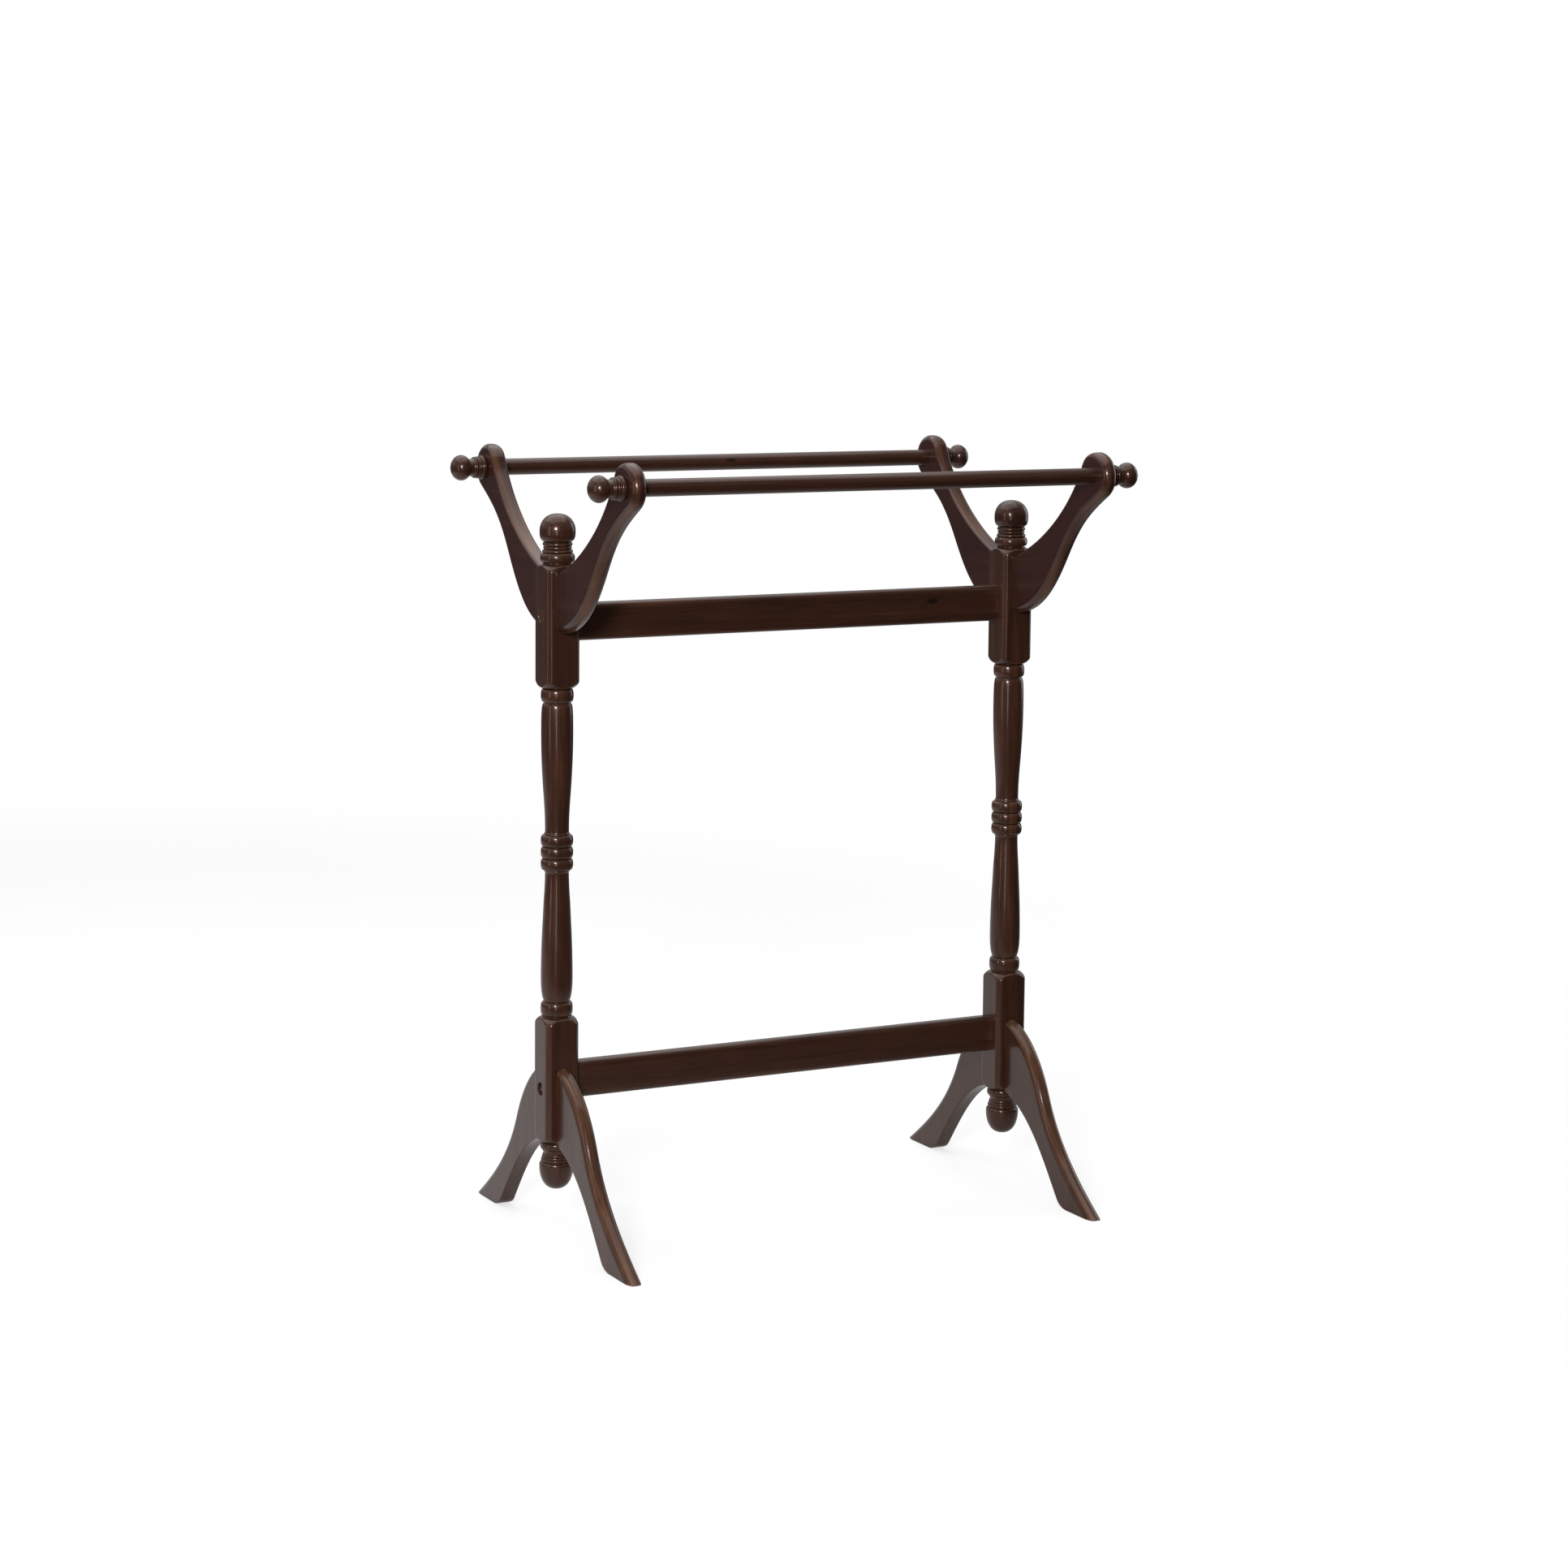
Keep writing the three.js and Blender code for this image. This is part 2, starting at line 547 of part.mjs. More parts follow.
// Everything at one end of the rack. It is drawn as the left end, whose rails are on +X;
// the right end is the same set turned half round, so its front and back names swap.
function endFrame(side) {
  const end = new THREE.Group();
  const label = (localFace) => {
    const turnedRound = side === 'right';
    const face = turnedRound === (localFace === 'back') ? 'front' : 'back';
    return `${side}_${face}`;
  };
  end.add(piece(`${side}_post`, postGeometry(), postWood));
  const faces = [
    { face: 'back', way: 1, turnZ: 0 },
    { face: 'front', way: -1, turnZ: Math.PI },
  ];
  for (const { face, way, turnZ } of faces) {
    const name = label(face);
    end.add(piece(`${name}_wing`, wingGeometry(way), wingWood, [0, 0, 0], turnZ));
    end.add(piece(`${name}_leg`, legGeometry(), legWood, [0, 0, 0], turnZ));
    const barAxis = [0, way * headY, barHeight];
    end.add(piece(`${name}_knob`, knobGeometry(), knobWood,
      [-wingThickness / 2, barAxis[1], barHeight]));
    end.add(piece(`${name}_knob_screw`, knobScrewGeometry(), zincSteel, barAxis));
    wingDowels.forEach((z, i) => {
      end.add(piece(`${name}_wing_dowel_${i + 1}`, dowelGeometry(dowelInPost, dowelInWing),
        dowelWood, [0, way * postHalf, z], turnZ));
    });
    legDowels.forEach((z, i) => {
      end.add(piece(`${name}_leg_dowel_${i + 1}`, dowelGeometry(dowelInPost, dowelInLeg),
        dowelWood, [0, way * postHalf, z], turnZ));
    });
  }
  for (const { rail, screwHeight, dowelHeight, sunk } of railJoints) {
    end.add(piece(`${side}_${rail}_rail_screw`, railScrewGeometry(), zincSteel, [0, 0, screwHeight]));
    end.add(piece(`${side}_${rail}_plug`, plugGeometry(sunk), plugWood, [0, 0, screwHeight]));
    end.add(piece(`${side}_${rail}_rail_dowel`, dowelGeometry(dowelInPost, dowelInRail),
      dowelWood, [postHalf, 0, dowelHeight], -Math.PI / 2));
  }
  end.position.x = side === 'left' ? -postSpacing / 2 : postSpacing / 2;
  end.rotation.z = side === 'left' ? 0 : Math.PI;
  return end;
}

const rack = new THREE.Group();
rack.name = 'quilt_rack';
rack.add(endFrame('left'), endFrame('right'));
const [lowerJoint, upperJoint] = railJoints;
rack.add(piece('lower_rail', railGeometry(lowerRailBottom, lowerJoint), railWood,
  [0, 0, lowerRailBottom + railHeight / 2]));
rack.add(piece('upper_rail', railGeometry(upperRailBottom, upperJoint), railWood,
  [0, 0, upperRailBottom + railHeight / 2]));
rack.add(piece('front_bar', barGeometry(), barWood, [0, -headY, barHeight]));
rack.add(piece('back_bar', barGeometry(), barWood, [0, headY, barHeight]));

export default rack;
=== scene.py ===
# A free-standing quilt rack in stained and lacquered hardwood.
# It is told in the order in which it is put together: posts, plugs, wings, legs, rails, bars, knobs,
# and last the hidden dowels and screws, the floor, the lights and the camera.
import math
import bmesh
import bpy
import mathutils
import numpy as np
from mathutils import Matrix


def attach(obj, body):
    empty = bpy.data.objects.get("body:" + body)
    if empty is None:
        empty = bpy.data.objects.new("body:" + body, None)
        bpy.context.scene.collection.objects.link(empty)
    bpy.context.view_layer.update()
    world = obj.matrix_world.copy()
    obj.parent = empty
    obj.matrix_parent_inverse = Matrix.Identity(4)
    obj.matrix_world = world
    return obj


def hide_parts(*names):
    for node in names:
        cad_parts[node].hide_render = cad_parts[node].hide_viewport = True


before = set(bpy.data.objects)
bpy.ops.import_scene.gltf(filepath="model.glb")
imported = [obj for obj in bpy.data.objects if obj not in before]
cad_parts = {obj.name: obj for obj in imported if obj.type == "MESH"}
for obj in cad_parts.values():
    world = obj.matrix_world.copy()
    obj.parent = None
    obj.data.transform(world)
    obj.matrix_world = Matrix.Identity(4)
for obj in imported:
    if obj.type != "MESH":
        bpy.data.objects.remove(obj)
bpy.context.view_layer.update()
MM = 0.001
SHARP_FROM = math.radians(35)

# ---------------------------------------------------------------- posts
# Each post is one square stick of hardwood. Between and beyond its two square blocks it is turned on the
# lathe: a drop, a bead, a long vase, three beads, a second vase, a bead, and a finial with a ball.
# It is stained dark mahogany, wiped, and sprayed with clear satin lacquer that pools in the grooves.

POST_HALF = 20.0
POST_CHAMFER = 4.5
POST_X = {"left": -293.0, "right": 293.0}
OUTWARD = {"left": -1, "right": 1}
LOWER_BLOCK = (110.5, 254.0)
UPPER_BLOCK = (624.5, 763.5)
BLOCK_LINE = 26.5  # the blank's radius before it is cut square
JOINT_GAP = 0.15  # every piece stops this far short of the face that it sits on
SHOULDER_HEIGHT = 14.5
PLUG_HEIGHTS = (172.0, 706.0)
PLUG_SUNK = (2.6, 0.5)
PLUG_RADIUS = 7.5
PLUG_GAP = 1.6  # how much deeper than the plug's face the joint round it goes
PLUG_STEPS = np.array([0.0, 2.0, 4.0, 5.6, 6.6, 7.05, 7.2, 7.5, 7.8, 8.2, 9.2, 10.6, 12.4, 14.4])
RING_INSIDE, RING_RIM, RING_OUTSIDE, BLEND_START, BLEND_STOP = PLUG_STEPS[[6, 7, 8, 9, 13]]
PLUG_STEPS = np.concatenate([-PLUG_STEPS[:0:-1], PLUG_STEPS])


def arc(start, stop, count):
    """Angles in radians, evenly spaced between two given in degrees."""
    return np.radians(np.linspace(start, stop, count))


def bead(height, half, base, peak, full=0.75, count=15):
    """A half-round bead: a half ellipse that stands out from the base radius, made fuller by a power."""
    a = arc(-90, 90, count)
    return np.stack([base + (peak - base) * np.abs(np.cos(a)) ** full, height + half * np.sin(a)], 1)


def flow(knots, count):
    """A smooth line through a few (radius, height) knots: the cubic that leaves each knot along the
    line between its two neighbours."""
    p = np.array(knots, float)
    padded = np.vstack([2 * p[0] - p[1], p, 2 * p[-1] - p[-2]])
    t = np.linspace(0, len(p) - 1, count)
    i = np.minimum(t.astype(int), len(p) - 2)
    u = (t - i)[:, None]
    a, b, c, d = padded[i], padded[i + 1], padded[i + 2], padded[i + 3]
    return 0.5 * (2 * b + (c - a) * u + (2 * a - 5 * b + 4 * c - d) * u ** 2
                  + (3 * b - a - 3 * c + d) * u ** 3)


def shoulder(height, way, count=18):
    """The turned end of a square block: part of an ellipse, nearly flat near the bead and upright where
    it runs out at the block's corners."""
    start, reach, tall = 16.0, 14.6, 14.0
    middle = BLOCK_LINE - reach
    a = np.linspace(math.asin((start - middle) / reach), np.pi / 2, count)
    rise = tall * (math.cos(a[0]) - np.cos(a))
    return np.stack([middle + reach * np.sin(a), height + way * rise], 1)


def block_rows(bottom, top, mark):
    """The flat of a block as (radius, height) rows, close together round the mark where its plug is."""
    even_rows = np.linspace(bottom + SHOULDER_HEIGHT, top - SHOULDER_HEIGHT, 24)
    close_rows = mark + PLUG_STEPS
    rows = np.unique(np.round(np.concatenate([even_rows, close_rows]), 3))
    far = np.abs(rows - mark) > PLUG_STEPS[-1] + 1.0
    near = np.min(np.abs(rows[:, None] - close_rows[None]), 1) < 1e-3
    rows = rows[far | near]
    return np.stack([np.full(len(rows), BLOCK_LINE), rows], 1)


def post_profile():
    """The whole post as one line of (radius, height, square) rows, from the drop to the finial. The last
    column is 1 where the section is cut square by the block's four faces."""
    under, over = arc(-90, 0, 22), arc(0, 90, 26)
    drop = [
        np.stack([19.3 * np.cos(under) ** 0.78, 82 + 26 * np.sin(under)], 1),
        flow([(19.3, 83), (19.1, 85), (18.5, 86.4), (17.3, 87.2), (16.3, 87.7)], 12),
        bead(89.6, 1.5, 16.2, 17.5, count=9), bead(92.5, 1.4, 15.3, 16.6, count=9),
        bead(95.2, 1.3, 14.6, 15.8, count=9),
        flow([(14.5, 96.9), (14.7, 98.4), (15.6, 100.6), (16.9, 102.4)], 8),
        bead(106.2, 3.6, 16.6, 18.4),
    ]
    shaft = [
        bead(262.7, 7.6, 15.4, 18.1, 0.66),
        flow([(14.4, 270.9), (14.9, 272.1), (16.2, 276.5), (17.2, 282.5), (17.8, 291), (17.9, 304),
              (17.5, 326), (16.8, 345), (15.9, 363), (15.0, 382), (14.1, 396), (13.5, 410),
              (13.4, 417.6)], 60),
        flow([(13.6, 417.9), (14.3, 418.7), (14.5, 419.6), (14.3, 420.2)], 6),
        *[bead(height, 6.4, 14.7, 18.2, 0.6) for height in (426.7, 440, 453.3)],
        flow([(14.3, 459.9), (14.5, 460.5), (14.3, 461.3), (13.6, 462.2)], 6),
        flow([(13.4, 462.5), (13.4, 468), (13.7, 481), (14.6, 497), (15.8, 514), (16.9, 534), (17.6, 552),
              (17.9, 572), (17.8, 590), (17.4, 600), (16.6, 605.6), (15.2, 608.3), (14.9, 608.8)], 60),
        bead(616.8, 7.4, 15.2, 18.3, 0.62),
    ]
    finial = [
        bead(770.1, 5.1, 16.0, 19.3), bead(777.2, 1.8, 15.3, 17.1, count=9),
        bead(781.2, 1.7, 14.5, 15.9, count=9), bead(785.2, 1.9, 15.0, 16.6, count=9),
        flow([(15.6, 787.7), (16.4, 788.6), (18.2, 790.1), (19.3, 792.6), (19.9, 796), (20, 799.4)], 14),
        np.stack([20 * np.cos(over) ** 0.86, 799.5 + 19.5 * np.sin(over) ** 0.97], 1),
    ]
    lower, upper = (np.vstack([shoulder(low, 1), block_rows(low, high, mark), shoulder(high, -1)[::-1]])
                    for (low, high), mark in zip((LOWER_BLOCK, UPPER_BLOCK), PLUG_HEIGHTS))
    runs = [(np.vstack(drop), 0), (lower, 1), (np.vstack(shaft), 0), (upper, 1), (np.vstack(finial), 0)]
    line = np.vstack([np.column_stack([run, np.full(len(run), square)]) for run, square in runs])
    line[0, 0] = line[-1, 0] = 0
    return line


def block_angles():
    """Directions round the post, so that the columns fall on the steps of the plug hole on each face and
    on even steps along each chamfer."""
    flat = POST_HALF - POST_CHAMFER
    across = np.concatenate([[-flat], PLUG_STEPS, [flat]])
    face = np.arctan2(across, POST_HALF)
    rising = np.linspace(flat, POST_HALF, 6)[1:-1]
    bevel = np.arctan2(rising, rising[::-1])
    quarter = np.concatenate([face, bevel])
    return np.concatenate([quarter + k * np.pi / 2 for k in range(4)])


def make_mesh(name, points, faces):
    """A mesh from points in millimetres. Where each point carries three more numbers, they go into the
    attribute that the finish reads."""
    points = points * MM
    mesh = bpy.data.meshes.new(name)
    mesh.from_pydata(points[:, :3].tolist(), [], faces)
    if points.shape[1] == 6:
        board = mesh.attributes.new("board", "FLOAT_VECTOR", "POINT")
        board.data.foreach_set("vector", points[:, 3:].astype(np.float32).ravel())
    return mesh


def close_grid(name, grid):
    """Makes a mesh from a grid of points, rows by columns. The columns join up all round, and each end
    row is closed by a fan to its middle point."""
    rows, cols, _ = grid.shape
    i = np.arange(rows - 1)[:, None] * cols
    j = np.arange(cols)[None]
    k = (j + 1) % cols
    quads = np.stack([i + j, i + k, i + k + cols, i + j + cols], -1).reshape(-1, 4)
    points = np.vstack([grid.reshape(rows * cols, -1), grid[0].mean(0), grid[-1].mean(0)])
    base, top = rows * cols, rows * cols + 1
    last = (rows - 1) * cols
    j, k = j[0], k[0]
    low = np.stack([k, j, np.full(cols, base)], -1)
    high = np.stack([last + j, last + k, np.full(cols, top)], -1)
    return make_mesh(name, points, quads.tolist() + low.tolist() + high.tolist())


def finish_mesh(name, mesh, material):
    """Merges doubled points, points the faces outwards, shades the surface smooth except across sharp
    edges, and hangs the piece on the frame's only body."""
    work = bmesh.new()
    work.from_mesh(mesh)
    bmesh.ops.remove_doubles(work, verts=work.verts, dist=1e-6)
    bmesh.ops.dissolve_degenerate(work, edges=work.edges, dist=1e-7)
    bmesh.ops.recalc_face_normals(work, faces=work.faces)
    work.to_mesh(mesh)
    work.free()
    mesh.set_sharp_from_angle(angle=SHARP_FROM)
    mesh.polygons.foreach_set("use_smooth", np.ones(len(mesh.polygons), bool))
    mesh.materials.append(material)
    piece = bpy.data.objects.new(name, mesh)
    bpy.context.scene.collection.objects.link(piece)
    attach(piece, "root")
    return piece


class Value:
    """A number that runs through a material's nodes. Sums on it add the Math nodes that work them out."""

    def __init__(self, nodes, socket):
        self.nodes = nodes
        self.socket = socket

    def math(self, operation, other, swap=False):
        pair = [other, self] if swap else [self, other]
        return self.nodes.make("ShaderNodeMath", {"operation": operation}, {0: pair[0], 1: pair[1]})

    def __add__(self, other):
        return self.math("ADD", other)

    def __radd__(self, other):
        return self.math("ADD", other, True)

    def __sub__(self, other):
        return self.math("SUBTRACT", other)

    def __rsub__(self, other):
        return self.math("SUBTRACT", other, True)

    def __mul__(self, other):
        return self.math("MULTIPLY", other)

    def __rmul__(self, other):
        return self.math("MULTIPLY", other, True)


class Nodes:
    """The nodes of one material, or of the world, round its shader."""

    def __init__(self, name, owner=None, shader="Principled BSDF"):
        self.material = owner or bpy.data.materials.new(name)
        self.material.use_nodes = True
        self.tree = self.material.node_tree
        self.shader = self.tree.nodes[shader]

    def make(self, kind, settings=None, sockets=None, output=0):
        """Adds a node, sets its settings, then fills its sockets with numbers, colours or links."""
        node = self.tree.nodes.new(kind)
        for key, value in (settings or {}).items():
            if key == "stops":
                ramp = node.color_ramp
                while len(ramp.elements) > 1:
                    ramp.elements.remove(ramp.elements[-1])
                for n, (place, shade) in enumerate(value):
                    stop = ramp.elements[0] if n == 0 else ramp.elements.new(place)
                    stop.position = place
                    stop.color = (*shade, 1)
            else:
                setattr(node, key, value)
        for key, value in (sockets or {}).items():
            self.fill(node.inputs[key], value)
        return Value(self, node.outputs[output])

    def fill(self, socket, value):
        if isinstance(value, Value):
            self.tree.links.new(value.socket, socket)
        else:
            socket.default_value = value

    def set(self, **sockets):
        for key, value in sockets.items():
            self.fill(self.shader.inputs[key.replace("_", " ")], value)

    def mix(self, amount, low, high):
        """A colour between two others."""
        return self.make("ShaderNodeMix", {"data_type": "RGBA"}, {0: amount, 6: low, 7: high}, output=2)

    def ramp(self, value, low, high, start=0.0, stop=1.0, smooth=False):
        """A number that runs from start to stop while the value runs from low to high."""
        settings = {"interpolation_type": "SMOOTHSTEP"} if smooth else {}
        return self.make("ShaderNodeMapRange", settings, {
            "Value": value, "From Min": low, "From Max": high, "To Min": start, "To Max": stop})

    def noise(self, place, scale, detail, roughness=0.5, distortion=0.0):
        """A noise between 0 and 1, about 0.5 on average."""
        return self.make("ShaderNodeTexNoise", {}, {"Vector": place, "Scale": scale, "Detail": detail,
                                                    "Roughness": roughness, "Distortion": distortion})


DARK = (0.025, 0.0098, 0.0060)
RED = (0.070, 0.0262, 0.0150)
# Golden wood: for worn sharp edges, and for the painted highlight streaks on rounded edges.
GOLD = (0.20, 0.085, 0.034)
SHEEN = (1.0, 0.60, 0.46, 1)
PORE = (0.0125, 0.0049, 0.0030, 1)
KNOT = (0.006, 0.003, 0.002, 1)
# Painted shade: the dark line drawn in the crease beside a rounded edge.
PAINTED_CREASE_SHADE = (0.008, 0.004, 0.003, 1)
KNOT_SHARPNESS = (110.0, 60.0, 300.0)  # one over the knot's half sizes in metres


def stained_wood(name, along, figure, rub=0.0, wiped_and_painted_highlight=0.0, roughness=0.36, deep=(1.0, 1.0, 1.0), knot=None,
                 shift=(0.0, 0.0, 0.0)):
    """Stained hardwood under lacquer. Long streaks run along the grain, as strong as the figure, and short
    dark pores lie in them. Rub lets golden wood through on sharp edges. The amount after it paints golden
    streaks on a board's rounded edges, partly stain wiped thin there and partly painted highlight, with a
    line of painted shade in the crease beside them. Deep scales the stain's colours, knot places a dark
    knot, and shift moves the pattern so that no two kinds of piece look the same."""
    n = Nodes(name)
    place = n.make("ShaderNodeTexCoord", output="Object")
    stretch = [1.0, 1.0, 1.0]
    stretch["XYZ".index(along)] = 0.04
    fibre = n.make("ShaderNodeMapping", {}, {"Vector": place, "Scale": stretch, "Location": shift})
    broad = n.noise(fibre, 85.0, 4.0, 0.55, 0.5)
    fine = n.noise(fibre, 460.0, 3.0, 0.6)
    patch = n.noise(place, 16.0, 3.0)
    pores = n.noise(fibre, 1500.0, 1.0)
    streak = n.ramp(broad * 0.55 + fine * 0.45, 0.36, 0.66)
    tone = n.ramp(patch, 0.35, 0.68)
    pore = n.ramp(pores, 0.60, 0.70)
    dark, red = (tuple(part * more for part, more in zip(colour, deep)) + (1,) for colour in (DARK, RED))
    body = n.mix((streak - 0.5) * figure + 0.5, dark, red)
    body = n.mix(tone * 0.35, body, dark)
    body = n.mix(pore * 0.4, body, PORE)
    if knot:
        off = n.make("ShaderNodeVectorMath", {"operation": "SUBTRACT"}, {0: place, 1: knot})
        off = n.make("ShaderNodeVectorMath", {"operation": "MULTIPLY"}, {0: off, 1: KNOT_SHARPNESS})
        away = n.make("ShaderNodeVectorMath", {"operation": "LENGTH"}, {0: off}, output="Value")
        core = n.ramp(away + (fine - 0.5) * 0.9, 0.5, 1.1, 1.0, 0.0, smooth=True)
        body = n.mix(core * 0.85, body, KNOT)
    if rub > 0:
        edge = n.make("ShaderNodeNewGeometry", output="Pointiness")
        worn = n.ramp(edge + (broad - 0.5) * 0.12, 0.51, 0.56)
        body = n.mix(worn * streak * rub, body, (*GOLD, 1))
    # Painted highlight: golden streaks along a board's rounded edges, partly stain wiped thin, partly the
    # light that the round catches.
    if wiped_and_painted_highlight > 0:
        board = n.make("ShaderNodeAttribute", {"attribute_name": "board"}, output="Vector")
        crest = n.make("ShaderNodeSeparateXYZ", {}, {0: board}, output="Z")
        run = n.make("ShaderNodeMapping", {}, {"Vector": board, "Scale": (0.06, 1.0, 0.0),
                                               "Location": shift})
        streak_noise = n.noise(run, 150.0, 3.0, distortion=0.6)
        thick = n.noise(run, 60.0, 2.0)
        gold_streak = n.ramp(streak_noise * 0.5 + thick * 0.5, 0.47, 0.66)
        on_round = n.ramp(crest, 0.12, 0.75, smooth=True)
        body = n.mix(on_round * gold_streak * wiped_and_painted_highlight, body, (*GOLD, 1))
        # Painted shade: a dark line where the round meets the flat, standing for the shade in that crease.
        start = n.ramp(crest, 0.0, 0.05)
        stop = n.ramp(crest, 0.08, 0.2, 1.0, 0.0)
        body = n.mix(start * stop * 0.6, body, PAINTED_CREASE_SHADE)
    relief = broad * 0.5 + fine * 0.5 - pore * 0.3
    bump = n.make("ShaderNodeBump", {}, {"Height": relief, "Strength": 0.1, "Distance": 0.0004})
    n.set(Base_Color=body, Roughness=roughness + (fine - 0.5) * 0.12 + pore * 0.1, Normal=bump, IOR=1.5,
          Specular_IOR_Level=0.28, Specular_Tint=SHEEN, Coat_Roughness=0.13, Coat_IOR=1.48,
          Coat_Weight=0.72)
    return n.material


post_wood = stained_wood("post_stained_wood", "Z", 0.8, rub=0.3)


def post_surface(side):
    """The post's radius at each height and direction: the turned line, and on the blocks the smooth
    minimum of that line and the eight planes of a square with chamfers. Round each plug the rows and
    columns of the outer face are drawn into circles, and what lies inside them is sunk to make its hole."""
    line = post_profile()
    angle = block_angles()
    radius, height, square = line[:, :1], line[:, 1:2], line[:, 2:]
    c, s = np.abs(np.cos(angle))[None], np.abs(np.sin(angle))[None]
    corner = (2 * POST_HALF - POST_CHAMFER) / np.sqrt(2)
    keen = 90.0
    planes = (c / POST_HALF) ** keen + (s / POST_HALF) ** keen + ((c + s) / np.sqrt(2) / corner) ** keen
    cut = (planes + (1 / np.maximum(radius, 0.01)) ** keen) ** (-1 / keen)
    r = np.where(square > 0.5, cut, radius)
    grid = np.stack([r * np.cos(angle), r * np.sin(angle), height + 0 * r], -1)
    outward = OUTWARD[side]
    for centre, sunk in zip(PLUG_HEIGHTS, PLUG_SUNK):
        across, up = grid[..., 1], grid[..., 2] - centre
        reach = np.maximum(np.abs(across), np.abs(up))
        on_face = (grid[..., 0] * outward > POST_HALF * 0.9) & (reach < BLEND_STOP + 0.05)
        to_circle = reach / np.maximum(np.hypot(across, up), 1e-6)
        fade = np.clip((reach - BLEND_START) / (BLEND_STOP - BLEND_START), 0, 1)
        scale = np.where(on_face, to_circle + (1 - to_circle) * fade, 1)
        floor_depth = sunk + PLUG_GAP
        depth = np.interp(reach, [0, RING_INSIDE, RING_RIM, RING_OUTSIDE],
                          [floor_depth, floor_depth, 0.35, 0])
        grid[..., 1] = across * scale
        grid[..., 2] = centre + up * scale
        grid[..., 0] -= np.where(on_face, outward * depth, 0)
    grid[..., 0] += POST_X[side]
    return grid


for side in ("left", "right"):
    name = f"{side}_post_turned"
    post = finish_mesh(name, close_grid(name, post_surface(side)), post_wood)
    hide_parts(f"{side}_post")

# ---------------------------------------------------------------- plugs
# A round wooden plug closes the counterbore over each rail screw. It is glued in and stained with the
# post, so that only the thin dark ring of the joint shows. The lower ones sit deep in their holes.

FULL_CREST = 1000.0  # becomes 1 when all the numbers of a point are scaled to metres
# Each plug's rim gets a painted highlight, a light golden ring where the rim catches the light, with a thin
# painted shade line inside it.
plug_wood = stained_wood("plug_stained_wood", "Y", 1.0, wiped_and_painted_highlight=1.0, shift=(0.3, 0.1, 0.7))


def plug_surface(side, height, sunk):
    """A disc with a softly rounded rim: (depth, radius) rows turned round the screw's axis. The rim is
    marked as a crest, so that the finish paints a light ring on it as a painted highlight, with a thin line
    of painted shade inside it."""
    a = arc(0, 90, 7)
    rim_deep, rim_wide, thick, streak_reach = 1.1, 1.0, 3.0, 20.0
    outer = PLUG_RADIUS - 0.7
    rim = np.stack([rim_deep - rim_deep * np.sin(a), outer - rim_wide + rim_wide * np.cos(a)], 1)
    face = [[0.0, 5.6], [0.0, 5.2], [-0.04, 2.2], [-0.05, 0]]
    rows = np.vstack([[[thick, 0], [thick, outer]], rim, face])
    turn = np.linspace(0, 2 * np.pi, 64, endpoint=False)
    x = POST_X[side] + OUTWARD[side] * (POST_HALF - sunk - rows[:, :1]) + 0 * turn
    crest = np.where(rows[:, 1:] > 5.7, FULL_CREST, 0.0) + 0 * turn
    return np.stack([x, rows[:, 1:] * np.cos(turn), height + rows[:, 1:] * np.sin(turn),
                     streak_reach * np.cos(turn) + 0 * x, streak_reach * np.sin(turn) + 0 * x, crest], -1)


for side in ("left", "right"):
    for rail, height, sunk in zip(("lower", "upper"), PLUG_HEIGHTS, PLUG_SUNK):
        name = f"{side}_{rail}_plug_face"
        plug = finish_mesh(name, close_grid(name, plug_surface(side, height, sunk)), plug_wood)
        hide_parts(f"{side}_{rail}_plug")

# ---------------------------------------------------------------- wings
# A wing is band-sawn from 18 mm board in a lazy S, and glued and dowelled to the post. Its lower edge and
# its round head are shaped to a full round; its upper edge keeps a flat with small rounded corners.

WING_THICK = 18.0
HEAD = (189.5, 859.0)
HEAD_RADIUS = 27.0
HEAD_LEAN = 47.0  # direction, in degrees above level, in which the head's outermost point lies
WING_SEAT = (686.5, 754.5)
WING_TURNING = (0.58, 0.427)  # where the lower edge turns, as parts of the way from seat to head
LOW_HEADINGS = (8, 56, 30)  # degrees above level at the post, where the edge turns and at the head
HIGH_HEADINGS = (18, 65)  # degrees above level at the post and at the head
LOW_MEETS, HIGH_MEETS = -60, 155  # directions in which the edges meet the head's round
LOW_ROUND, HIGH_ROUND = 8.6, 3.4
FACE_WAY = {"front": -1, "back": 1}
SEAT_Y = POST_HALF + JOINT_GAP


def bend(start, end, leaving, arriving, count, pull=(0.35, 0.35)):
    """A cubic curve between two (Y, Z) points that leaves and arrives at headings given in degrees; each
    pull is the part of the straight distance that its handle takes."""
    p, q = np.array(start, float), np.array(end, float)
    length = np.hypot(*(q - p))
    go, come = np.radians(leaving), np.radians(arriving)
    a = p + pull[0] * length * np.array([np.cos(go), np.sin(go)])
    b = q - pull[1] * length * np.array([np.cos(come), np.sin(come)])
    t = np.linspace(0, 1, count)[:, None]
    return (1 - t) ** 3 * p + 3 * (1 - t) ** 2 * t * a + 3 * (1 - t) * t ** 2 * b + t ** 3 * q


def even(line, places):
    """Points along a line at the given parts of its length."""
    run = np.concatenate([[0], np.cumsum(np.hypot(*np.diff(line, axis=0).T))])
    return np.stack([np.interp(places * run[-1], run, line[:, k]) for k in (0, 1)], 1)


